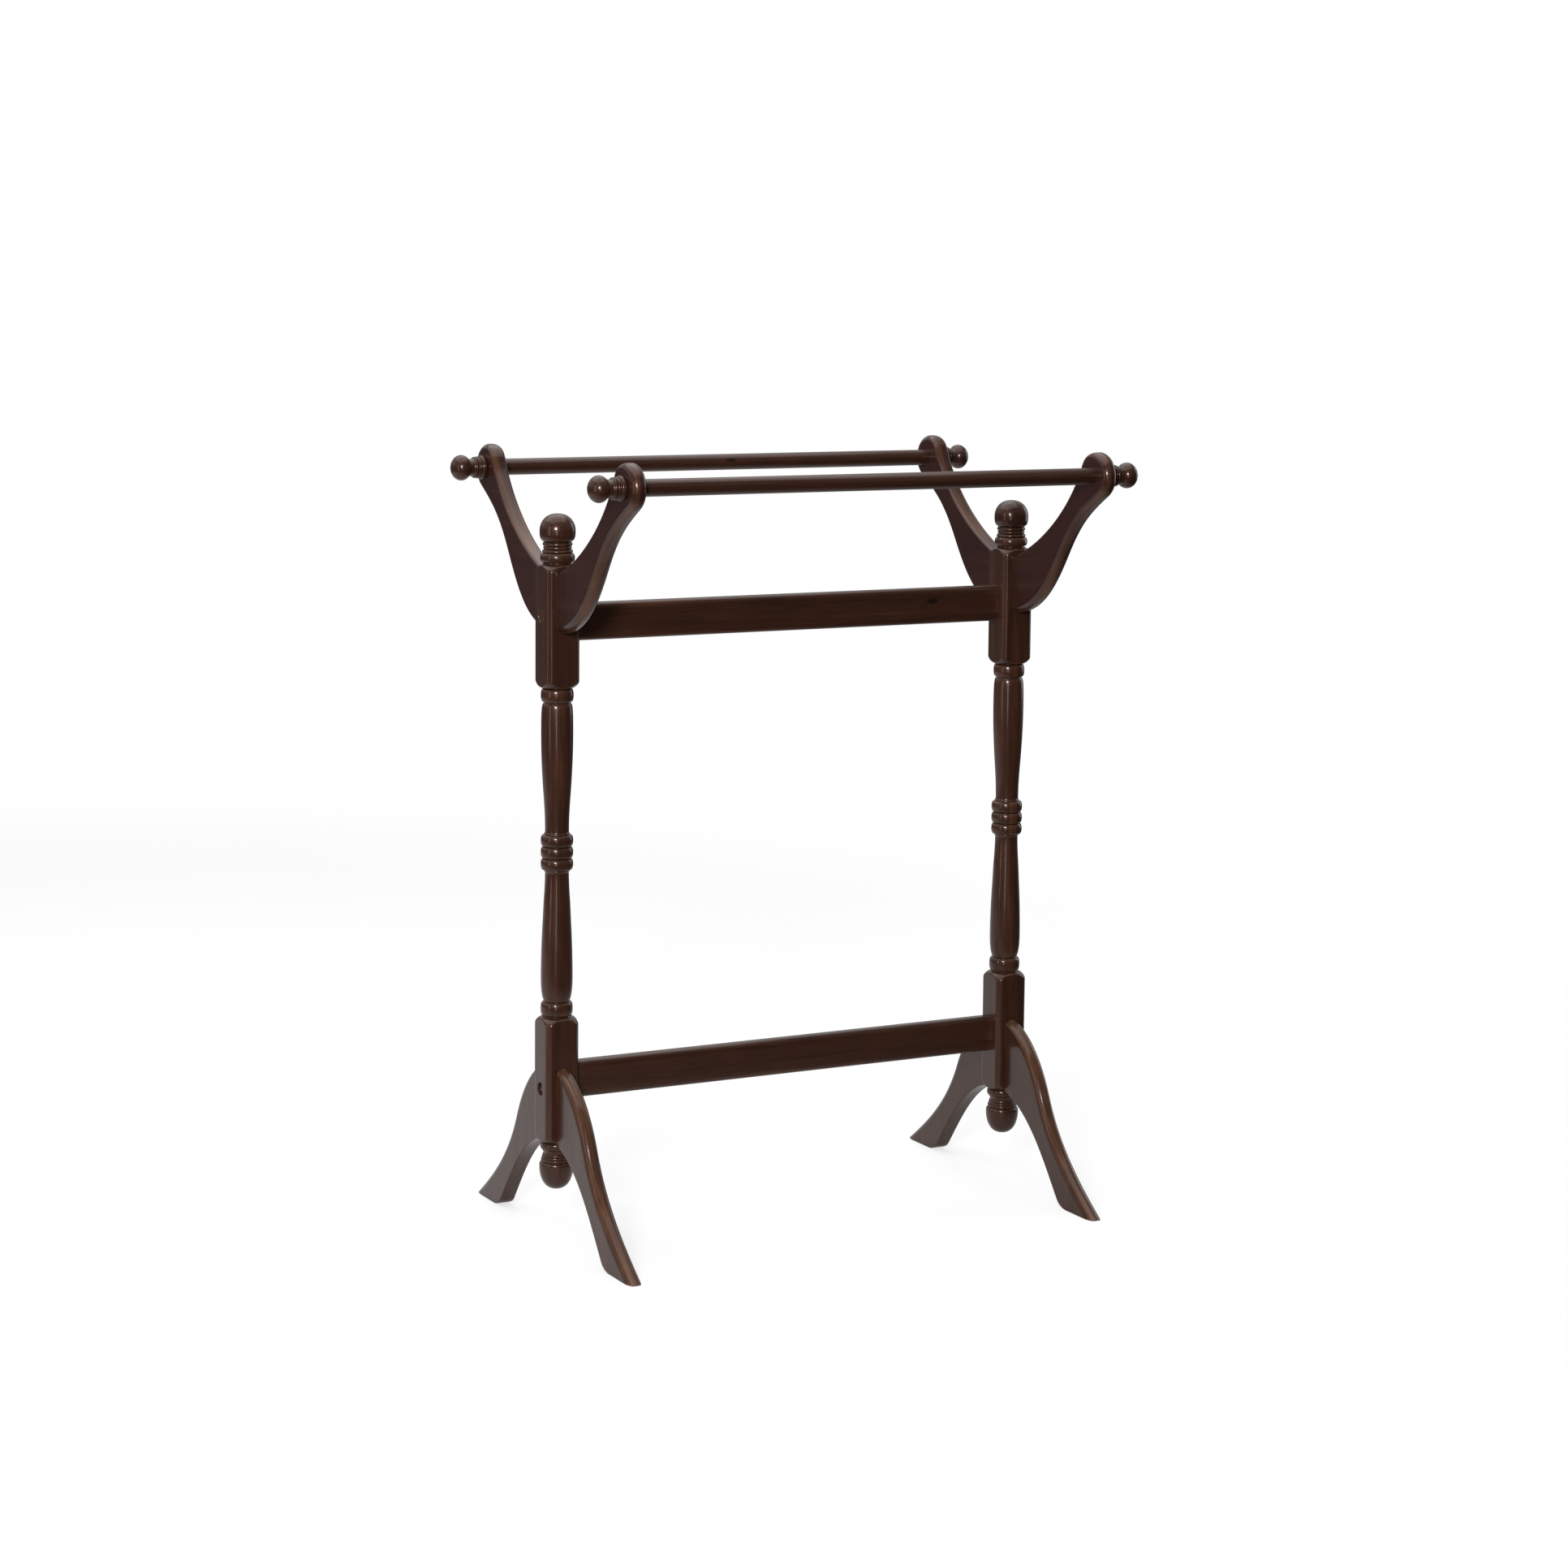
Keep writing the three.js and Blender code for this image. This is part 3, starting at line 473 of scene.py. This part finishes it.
def edge_section(width, thick, low_round, high_round):
    """Half of a board's section at each station: points from the lower edge's tip to the upper edge's tip,
    as (depth from the lower edge, half thickness). Both ends are quarter rounds of their own radius, and
    one point always lies half way across."""
    a = arc(0, 90, 10)
    flat = np.linspace(0, 1, 11)[1:-1]
    half = thick / 2
    w = width[:, None]
    most = 0.98 * w / 2
    lo, hi = np.minimum(low_round[:, None], most), np.minimum(high_round[:, None], most)
    low_depth, low_half = lo * (1 - np.cos(a)), half - lo + lo * np.sin(a)
    high_depth, high_half = w - hi * (1 - np.cos(a[::-1])), half - hi + hi * np.sin(a[::-1])
    mid_depth = np.where(flat < 0.5, lo + (w / 2 - lo) * 2 * flat, w / 2 + (w / 2 - hi) * (2 * flat - 1))
    depth = np.concatenate([low_depth, mid_depth, high_depth], 1)
    thickness = np.concatenate([low_half, np.full(mid_depth.shape, half), high_half], 1)
    return depth, thickness


def board_grid(low, high, thick, low_round, high_round):
    """A board between a lower and an upper edge line: at each station the half section goes up one face
    and comes back down the other. Behind each point's place come three numbers for the finish: how far
    along the board it is, how far across, and the crest, which is full on the tip of a rounded edge and
    falls to 0 where the flat begins."""
    span = high - low
    width = np.hypot(span[:, 0], span[:, 1])
    depth, half = edge_section(width, thick, low_round, high_round)
    step = depth / np.maximum(width, 1e-6)[:, None]
    face = low[:, None, :] + step[..., None] * span[:, None, :]
    centre = (low + high) / 2
    along = np.concatenate([[0], np.cumsum(np.hypot(*np.diff(centre, axis=0).T))])[:, None] + 0 * depth
    crest = np.maximum(1 - depth / low_round[:, None], 1 - (width[:, None] - depth) / high_round[:, None])
    crest = np.clip(crest, 0, 1) * FULL_CREST
    near = np.concatenate([np.stack([-half], -1), face, np.stack([along, -half, crest], -1)], -1)
    far = np.concatenate([np.stack([half], -1), face, np.stack([along, half, crest], -1)], -1)[:, ::-1]
    return np.concatenate([near, far], 1)


def rim(degrees):
    """Points on the round of the head in the given directions."""
    a = np.radians(np.atleast_1d(degrees))[:, None]
    return np.array(HEAD) + HEAD_RADIUS * np.concatenate([np.cos(a), np.sin(a)], 1)


def wing_edges(stations):
    """The wing's lower and upper edge lines from the post to the middle of its head. The lower is two
    cubics that meet where it turns, the upper is one, and each ends in a part of the head's round."""
    seat, top = WING_SEAT
    along, up = WING_TURNING
    turning = (POST_HALF + along * (HEAD[0] - POST_HALF), seat + up * (HEAD[1] - seat))
    leave, steepest, arrive = LOW_HEADINGS
    lower = np.vstack([bend((POST_HALF, seat), turning, leave, steepest, 40, (0.38, 0.42)),
                       bend(turning, rim(LOW_MEETS)[0], steepest, arrive, 30, (0.4, 0.4))[1:],
                       rim(np.linspace(LOW_MEETS, HEAD_LEAN - 90, 6)[1:])])
    upper = np.vstack([bend((POST_HALF, top), rim(HIGH_MEETS)[0], *HIGH_HEADINGS, 60, (0.35, 0.3)),
                       rim(np.linspace(HIGH_MEETS, HEAD_LEAN + 90, 6)[1:])])
    places = np.linspace(0, 1, stations)
    low, high = even(lower, places), even(upper, places)
    low[0, 0] = high[0, 0] = SEAT_Y
    return low, high


# Its rounded edges get golden streaks, partly stain wiped thin and partly painted highlight, and a line of
# painted shade in the crease.
wing_wood = stained_wood("wing_stained_wood", "Y", 0.4, rub=0.25, wiped_and_painted_highlight=0.55, deep=(0.80, 0.66, 0.85),
                         shift=(0.2, 0.5, 0.1))


def wing_surface(stations=72, turns=29):
    """The wing along +Y in two grids. The body is the board section carried from the post to the middle
    of the head. The fan is half of that section turned half round the head's centre, while the edge's
    round shrinks from the lower edge's to the upper edge's."""
    body = board_grid(*wing_edges(stations), WING_THICK, np.full(stations, LOW_ROUND),
                      np.full(stations, HIGH_ROUND))
    quarter = body.shape[1] // 4
    spin_low = rim(HEAD_LEAN - 90 + 180 * np.linspace(0, 1, turns + 1)[1:])
    spin_high = 2 * np.array(HEAD) - spin_low
    part = np.clip(np.linspace(-1.5, 1, turns + 1)[1:], 0, 1)
    rim_round = LOW_ROUND + (HIGH_ROUND - LOW_ROUND) * part ** 2 * (3 - 2 * part)
    head = board_grid(spin_low, spin_high, WING_THICK, rim_round, np.full(turns, HIGH_ROUND))
    head = np.concatenate([body[-1:], head], 0)
    near, far = head[:, :quarter], head[:, -quarter:]
    hub = np.array([0, *HEAD, far[0, 0, 3], 0, 0])
    to_face = np.array([WING_THICK / 2, 0, 0, 0, 0, 0])
    hub_near = np.broadcast_to(hub - to_face, (len(near), 1, 6))
    hub_far = np.broadcast_to(hub + to_face, (len(far), 1, 6))
    return body, np.concatenate([hub_far, far, near, hub_near], 1)


def place(points, side, face):
    """Moves a shape drawn along +Y to its own post, mirrored in Y where it belongs in front."""
    return points * np.array([1, FACE_WAY[face], 1, 1, 1, 1]) + np.array([POST_X[side], 0, 0, 0, 0, 0])


def join_grids(name, grids):
    """One mesh out of several grids. Each comes with whether its columns join up all round, and with the
    rows to close with one flat face, forwards or flipped. Points that fall together are merged later."""
    points, faces, base = [], [], 0
    for grid, wrap, caps in grids:
        rows, cols, _ = grid.shape
        i = np.arange(rows - 1)[:, None] * cols
        j = np.arange(cols if wrap else cols - 1)[None]
        k = (j + 1) % cols
        faces += (base + np.stack([i + j, i + k, i + k + cols, i + j + cols], -1).reshape(-1, 4)).tolist()
        for row, flip in caps:
            ring = base + row * cols + np.arange(cols)
            faces.append((ring[::-1] if flip else ring).tolist())
        points.append(grid.reshape(-1, 6))
        base += rows * cols
    return make_mesh(name, np.vstack(points), faces)


for side in ("left", "right"):
    for face in ("front", "back"):
        name = f"{side}_{face}_wing_board"
        body, fan = (place(grid, side, face) for grid in wing_surface())
        wing = finish_mesh(name, join_grids(name, [(body, True, [(0, True)]), (fan, False, [])]), wing_wood)
        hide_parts(f"{side}_{face}_wing")

# ---------------------------------------------------------------- legs
# Sabre legs of the same board. The outer edge is shaped to a full round down to the toe, and the inner
# edge and the flat sole are left square with the corners just eased.

LEG_REACH = 214.0
LEG_SEAT = (110.5, 197.5)
LEG_TURNING = (0.405, 0.609)  # where the outer edge turns, as parts of the reach and of the top's height
LEG_LENGTH = 260.0
TOE_HEIGHT = 1.6
OUTER_HEADINGS = (145, 115, 162)  # degrees at the toe, where the edge turns and at the post
HEEL = ((160.0, 0.0), (142.0, 6.0))  # where the sole ends, and where the inner edge leaves the heel
HEEL_HEADINGS, INNER_HEADINGS = (180, 145), (128, 167)
OUTER_PARTS = (0, 0.15, 0.337, 0.59, 1)  # these parts of the outer edge face these of the sole and
INNER_PARTS = (0, 0.223, 0.496, 0.83, 1)  # inner edge
OUTER_ROUND, INNER_EASE = 8.6, 0.8
# Its rounded outer edge gets golden streaks, partly stain wiped thin and partly painted highlight, and a
# line of painted shade in the crease.
leg_wood = stained_wood("leg_stained_wood", "Z", 0.5, rub=0.4, wiped_and_painted_highlight=0.7, shift=(0.6, 0.2, 0.4))


def leg_surface(stations=84):
    """The leg along +Y, from the tip of the toe to the post. The outer edge is two cubics; the inner is
    the flat sole, a short cubic round the heel and a long one up to the post. Each station joins a point of
    the outer edge to the one that faces it, by a quarter round, a flat and an eased corner on each face."""
    seat, top = LEG_SEAT
    turning = (POST_HALF + LEG_TURNING[0] * (LEG_REACH - POST_HALF), LEG_TURNING[1] * top)
    leave, steepest, arrive = OUTER_HEADINGS
    outer = np.vstack([bend((LEG_REACH, TOE_HEIGHT), turning, leave, steepest, 60),
                       bend(turning, (POST_HALF, top), steepest, arrive, 40)[1:]])
    inner = np.vstack([[(LEG_REACH - 1.0, 0), HEEL[0]], bend(*HEEL, *HEEL_HEADINGS, 10)[1:],
                       bend(HEEL[1], (POST_HALF, seat), *INNER_HEADINGS, 60)[1:]])
    t = np.linspace(0, 1, stations) ** 1.25
    high = even(outer, t)
    low = even(inner, np.interp(t, OUTER_PARTS, INNER_PARTS))
    high[-1, 0] = low[-1, 0] = SEAT_Y
    span = high - low
    width = np.maximum(np.hypot(span[:, 0], span[:, 1]), 1e-4)[:, None]
    a = arc(0, 90, 14)
    radius, half = OUTER_ROUND, WING_THICK / 2
    fit = np.minimum(INNER_EASE, 0.3 * width)
    stop = np.maximum(width - fit, 0.2 * width)
    round_depth = np.minimum(radius * (1 - np.cos(a)) + 0 * width, stop)
    flat_depth = round_depth[:, -1:] + (stop - round_depth[:, -1:]) * np.linspace(0, 1, 10)[None, 1:]
    depth = np.concatenate([round_depth, flat_depth], 1)
    lean = np.clip(1 - depth / radius, 0, 1)
    body = half - radius + radius * np.sqrt(1 - lean ** 2)
    corner = arc(0, 90, 5)[1:]
    last = body[:, -1:]
    ease_depth = stop + (width - stop) * np.sin(corner)
    ease_half = last - fit * 0.9 * (1 - np.cos(corner)) * np.minimum(1, last / fit)
    under = np.linspace(1, -1, 7)[None, 1:-1] * ease_half[:, -1:]
    depth_all = np.concatenate([depth, ease_depth, width + 0 * under, ease_depth[:, ::-1],
                                depth[:, ::-1]], 1)
    half_all = np.concatenate([body, ease_half, under, -ease_half[:, ::-1], -body[:, ::-1]], 1)
    step = depth_all / width
    points = high[:, None] - step[..., None] * span[:, None]
    along = t[:, None] * LEG_LENGTH + 0 * depth_all
    crest = np.clip(1 - depth_all / radius, 0, 1) * FULL_CREST
    return np.concatenate([half_all[..., None], points, np.stack([along, half_all, crest], -1)], -1)


for side in ("left", "right"):
    for face in ("front", "back"):
        name = f"{side}_{face}_leg_board"
        grid = place(leg_surface(), side, face)
        caps = [(0, True), (len(grid) - 1, False)]
        leg = finish_mesh(name, join_grids(name, [(grid, True, caps)]), leg_wood)
        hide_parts(f"{side}_{face}_leg")

# ---------------------------------------------------------------- rails
# Two flat rails, 42 by 17 mm, with rounded long edges, butt against the posts' inner faces. A screw and a
# dowel in each end hold them.

RAIL_HALF = (8.5, 21.0)
RAIL_ROUND = 5.2
RAIL_MIDDLES = {"lower": 180.0, "upper": 698.0}
RAIL_END = POST_X["right"] - POST_HALF - JOINT_GAP
rail_wood = stained_wood("rail_stained_wood", "X", 0.75, rub=0.3, knot=(0.182, -0.0085, 0.704),
                         shift=(0.1, 0.9, 0.3))


def rail_surface(middle):
    """A rounded rectangle in (Y, Z) carried along X."""
    wide, high = RAIL_HALF
    r = RAIL_ROUND
    corners = [(wide - r, high - r, 0), (-wide + r, high - r, 90), (-wide + r, -high + r, 180),
               (wide - r, -high + r, 270)]
    ring = []
    for y, z, start in corners:
        a = arc(start, start + 90, 9)
        ring.append(np.stack([y + r * np.cos(a), z + r * np.sin(a)], 1))
    side_steps = np.linspace(-high + r, high - r, 8)[1:-1]
    ring.insert(4, np.stack([np.full(len(side_steps), wide), side_steps], 1))
    ring.insert(2, np.stack([np.full(len(side_steps), -wide), side_steps[::-1]], 1))
    ring = np.vstack(ring)
    x = np.linspace(-RAIL_END, RAIL_END, 90)
    return np.stack([x[:, None] + 0 * ring[None, :, 0], 0 * x[:, None] + ring[None, :, 0],
                     middle + 0 * x[:, None] + ring[None, :, 1]], -1)


for rail, middle in RAIL_MIDDLES.items():
    name = f"{rail}_rail_board"
    piece = finish_mesh(name, close_grid(name, rail_surface(middle)), rail_wood)
    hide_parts(f"{rail}_rail")

# ---------------------------------------------------------------- bars
# Two 19 mm round bars hang between the wings. Each end is let 4 mm into the wing and held by the stud of
# the knob outside.

BAR_RADIUS = 9.5
BAR_LET_IN = 3.7
BAR_END = POST_X["right"] - WING_THICK / 2 + BAR_LET_IN
bar_wood = stained_wood("bar_stained_wood", "X", 0.7, knot=(0.012, 0.180, 0.862), shift=(0.7, 0.3, 0.2))


def bar_surface(y):
    """A circle carried along X."""
    turn = np.linspace(0, 2 * np.pi, 64, endpoint=False)
    x = np.linspace(-BAR_END, BAR_END, 90)[:, None]
    return np.stack([x + 0 * turn, y + BAR_RADIUS * np.cos(turn) + 0 * x,
                     HEAD[1] + BAR_RADIUS * np.sin(turn) + 0 * x], -1)


for face, way in FACE_WAY.items():
    name = f"{face}_bar_round"
    bar = finish_mesh(name, close_grid(name, bar_surface(way * HEAD[0])), bar_wood)
    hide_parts(f"{face}_bar")

# ---------------------------------------------------------------- knobs
# A turned ball knob closes each end of a bar outside the wing: a collar against the wood, two thin rings,
# a groove and a slightly flattened ball. It screws on to a steel stud.

BALL_REACH, BALL_RADIUS, BALL_HALF_LENGTH = 28.0, 14.7, 11.8
knob_wood = stained_wood("knob_stained_wood", "X", 0.7, roughness=0.34, shift=(0.4, 0.8, 0.6))


def knob_surface(side, way):
    """The knob's (radius, reach) line turned round the bar's axis, with reach measured from the wing."""
    a = arc(-46, 90, 30)
    ball = np.stack([BALL_RADIUS * np.cos(a), BALL_REACH + BALL_HALF_LENGTH * np.sin(a)], 1)
    line = np.vstack([
        [[0, JOINT_GAP], [12.0, JOINT_GAP]], bead(3.1, 2.8, 12.0, 13.9, count=13),
        flow([(12.0, 6.1), (11.4, 6.6), (11.2, 7.2)], 5),
        bead(8.8, 1.4, 11.2, 12.7, count=9), bead(11.9, 1.4, 10.8, 12.2, count=9),
        flow([(10.6, 13.5), (10.0, 14.6), (9.9, 16.2), (10.1, 18.6)], 8), ball])
    line[-1, 0] = 0
    turn = np.linspace(0, 2 * np.pi, 72, endpoint=False)
    radius, reach = line[:, :1], line[:, 1:]
    x = POST_X[side] + OUTWARD[side] * (WING_THICK / 2 + reach) + 0 * turn
    return np.stack([x, way * HEAD[0] + radius * np.cos(turn), HEAD[1] + radius * np.sin(turn)], -1)


for side in ("left", "right"):
    for face, way in FACE_WAY.items():
        name = f"{side}_{face}_knob_turned"
        knob = finish_mesh(name, close_grid(name, knob_surface(side, way)), knob_wood)
        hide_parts(f"{side}_{face}_knob")

# ---------------------------------------------------------------- hidden dowels and screws
# Beech dowels and zinc-plated screws and studs sit inside the joints. Their CAD shapes stay, and each
# gets its own finish.


def bare_beech():
    """Pale, open wood with fine flecks."""
    n = Nodes("bare_beech")
    place_in = n.make("ShaderNodeTexCoord", output="Object")
    fleck = n.noise(place_in, 900.0, 3.0)
    tone = n.ramp(fleck, 0.4, 0.65)
    bump = n.make("ShaderNodeBump", {}, {"Height": fleck, "Strength": 0.2, "Distance": 0.0003})
    n.set(Base_Color=n.mix(tone, (0.60, 0.40, 0.23, 1), (0.46, 0.28, 0.15, 1)),
          Roughness=0.62 + tone * 0.12, Normal=bump)
    return n.material


def zinc_plate():
    """Bright plated steel with a slightly cloudy surface."""
    n = Nodes("zinc_plate")
    place_in = n.make("ShaderNodeTexCoord", output="Object")
    cloud = n.noise(place_in, 260.0, 4.0)
    bump = n.make("ShaderNodeBump", {}, {"Height": cloud, "Strength": 0.1, "Distance": 0.0002})
    n.set(Base_Color=n.mix(cloud, (0.52, 0.52, 0.50, 1), (0.70, 0.69, 0.66, 1)),
          Roughness=0.26 + cloud * 0.2, Normal=bump, Metallic=1.0)
    return n.material


beech, zinc = bare_beech(), zinc_plate()
for node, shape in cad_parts.items():
    if "dowel" in node or "screw" in node:
        hidden_finish = beech if "dowel" in node else zinc
        if shape.material_slots:
            for place_on in shape.material_slots:
                place_on.material = hidden_finish
        else:
            shape.data.materials.append(hidden_finish)

# ---------------------------------------------------------------- floor, lights and camera
# A pale matt floor; a broad softbox overhead, a small and a tall one at the left front and a dim panel at
# either side; a plain white studio behind; and a long lens from the left front.

FLOOR_REACH = 4.0
FLOOR_DROP = 0.0004
FLOOR_MIDDLE = (-0.6, 1.2, 0.0)


def floor_paint():
    """Matt white studio floor with a very faint mottle. It thins to nothing away from the rack, so that
    no edge shows and the lacquer mirrors white only from the floor near by."""
    n = Nodes("floor_paint")
    place_in = n.make("ShaderNodeTexCoord", output="Object")
    mottle = n.noise(place_in, 6.0, 3.0)
    n.set(Base_Color=n.mix(mottle, (0.86, 0.86, 0.86, 1), (0.90, 0.90, 0.90, 1)), Roughness=0.7,
          Specular_IOR_Level=0.2, Emission_Color=(1, 1, 1, 1), Emission_Strength=0.3)
    middle = n.make("ShaderNodeVectorMath", {"operation": "SUBTRACT"}, {0: place_in, 1: FLOOR_MIDDLE})
    away = n.make("ShaderNodeVectorMath", {"operation": "LENGTH"}, {0: middle}, output="Value")
    n.set(Alpha=n.ramp(away, 1.2, 2.3, 0.5, 0.0, smooth=True))
    return n.material


ground = bpy.data.meshes.new("floor")
lines = 9
steps = np.linspace(-FLOOR_REACH, FLOOR_REACH, lines)
across, along = np.meshgrid(steps, steps)
spots = np.stack([across, along, 0 * across - FLOOR_DROP], -1).reshape(-1, 3)
index = (np.arange(lines - 1)[:, None] * lines + np.arange(lines - 1)[None]).reshape(-1, 1)
ground.from_pydata(spots.tolist(), [], (index + np.array([[0, 1, lines + 1, lines]])).tolist())
ground.materials.append(floor_paint())
floor = bpy.data.objects.new("floor", ground)
bpy.context.scene.collection.objects.link(floor)


def soft_light(name, place_at, aim, size, power):
    """A rectangular softbox at one point that faces another."""
    lamp = bpy.data.lights.new(name, "AREA")
    lamp.shape = "RECTANGLE"
    lamp.size, lamp.size_y = size
    lamp.energy = power
    box = bpy.data.objects.new(name, lamp)
    box.location = place_at
    direction = np.array(aim, float) - np.array(place_at, float)
    box.rotation_euler = mathutils.Vector(direction).to_track_quat("-Z", "Y").to_euler()
    bpy.context.scene.collection.objects.link(box)


RACK_MIDDLE = (0, 0, 0.5)
soft_light("overhead_softbox", (-0.5, 0.7, 3.2), (-0.5, 0.7, 0), (4.0, 4.0), 60)
soft_light("key_softbox", (-2.6, -3.3, 1.9), RACK_MIDDLE, (0.8, 0.8), 105)
soft_light("strip_softbox", (-2.3, -3.6, 1.0), RACK_MIDDLE, (0.3, 2.4), 12)
soft_light("left_panel", (-3.2, -0.6, 1.0), RACK_MIDDLE, (0.5, 2.0), 7)
soft_light("right_panel", (3.0, 0.4, 1.2), RACK_MIDDLE, (0.5, 2.0), 8)


def studio_world():
    """White where the camera looks past the floor. For everything else a room that is dim in front,
    brighter behind the rack, and brightest well above the horizon."""
    world = bpy.data.worlds.new("studio")
    bpy.context.scene.world = world
    n = Nodes("studio", world, "Background")
    way = n.make("ShaderNodeTexCoord", output="Generated")
    rise = n.make("ShaderNodeSeparateXYZ", {}, {0: way}, output="Z")
    ahead = n.make("ShaderNodeSeparateXYZ", {}, {0: way}, output="Y")
    level = n.make("ShaderNodeValToRGB", {"stops": [
        (0.0, (0.07, 0.065, 0.068)), (0.05, (0.1, 0.095, 0.098)), (0.1, (0.16, 0.155, 0.16)),
        (0.2, (0.5, 0.49, 0.5)), (1.0, (0.6, 0.6, 0.6))]}, {0: rise})
    behind = n.ramp(ahead, -0.2, 0.4, 0.3, 1.0)
    seen = n.make("ShaderNodeLightPath", output="Is Camera Ray")
    room = n.mix(behind, (0, 0, 0, 1), level)
    n.set(Color=n.mix(seen, room, (1, 1, 1, 1)))


studio_world()
bpy.context.scene.view_settings.view_transform = "Standard"

CAMERA_AT = (-1.8665, -3.5462, 1.1133)
AZIMUTH, PITCH, ROLL = -27.642, 6.173, 0.514
SENSOR = 36.0
IMAGE = 1932.0
FOCAL = 4325.9 / IMAGE  # how long the lens is, in widths of the image
MIDDLE_DOWN = 773.0 / IMAGE  # how far down the image the lens's axis points, as a part of its height
lens = bpy.data.cameras.new("camera")
lens.sensor_width = SENSOR
lens.lens = SENSOR * FOCAL
lens.shift_y = MIDDLE_DOWN - 0.5
lens.clip_start, lens.clip_end = 0.1, 60.0
camera = bpy.data.objects.new("camera", lens)
a, e, r = (math.radians(v) for v in (AZIMUTH, PITCH, ROLL))
back = np.array([math.sin(a) * math.cos(e), -math.cos(a) * math.cos(e), math.sin(e)])
right = np.array([math.cos(a), math.sin(a), 0.0])
up = np.cross(back, right)
turned_right = math.cos(r) * right + math.sin(r) * up
turned_up = -math.sin(r) * right + math.cos(r) * up
pose = np.eye(4)
pose[:3, 0], pose[:3, 1], pose[:3, 2], pose[:3, 3] = turned_right, turned_up, back, CAMERA_AT
camera.matrix_world = mathutils.Matrix(pose.tolist())
bpy.context.scene.collection.objects.link(camera)
bpy.context.scene.camera = camera

bpy.context.view_layer.update()
